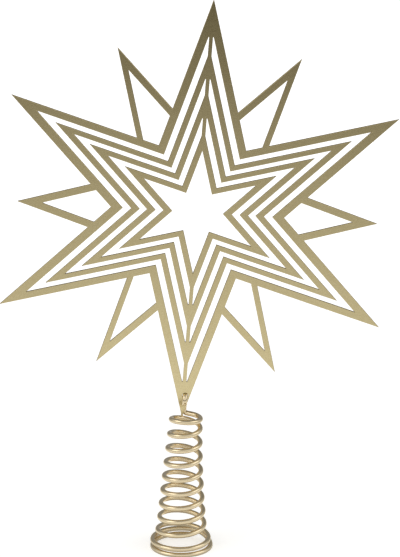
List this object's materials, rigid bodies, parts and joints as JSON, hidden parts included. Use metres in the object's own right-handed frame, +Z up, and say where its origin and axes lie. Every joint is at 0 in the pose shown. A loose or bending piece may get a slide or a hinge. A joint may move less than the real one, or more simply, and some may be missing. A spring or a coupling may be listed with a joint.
{
  "type": "christmas tree topper star",
  "caption": "Flat cut-sheet star of nested open outlines with smaller open points between, hooked on a conical wire spring that slips over the top shoot of a tree.",
  "frame": {"origin": "On the coil's axis, in the plane of the flat under its lowest turn", "axes": "+Z up along the coil, -Y the side the star faces, +X to the right as seen from the front"},
  "size_m": [0.1983, 0.032, 0.2872],
  "materials": {
    "lacquered_sheet": "satin champagne-gold lacquer on steel sheet",
    "lacquered_wire": "satin champagne-gold lacquer on steel wire"
  },
  "bodies": {
    "coil": {"coil_spring": "lacquered_wire"},
    "hook": {"star_hook": "lacquered_wire"},
    "star": {"star_plate": "lacquered_sheet"}
  },
  "joints": [
    {"name": "spring_sway", "type": "hinge", "parent": "coil", "child": "hook", "pos_m": [0.0007, 0, 0.036], "axis": [1, 0, 0], "range_deg": [-12, 12], "stiffness_Nm_per_rad": 0.7, "springref_deg": 0.02, "deforming": ["coil_spring"]},
    {"name": "star_pivot", "type": "hinge", "parent": "hook", "child": "star", "pos_m": [0.00234, 0.00568, 0.07965], "axis": [0.0042, 0.9984, 0.0557], "range_deg": [-3, 20]}
  ]
}
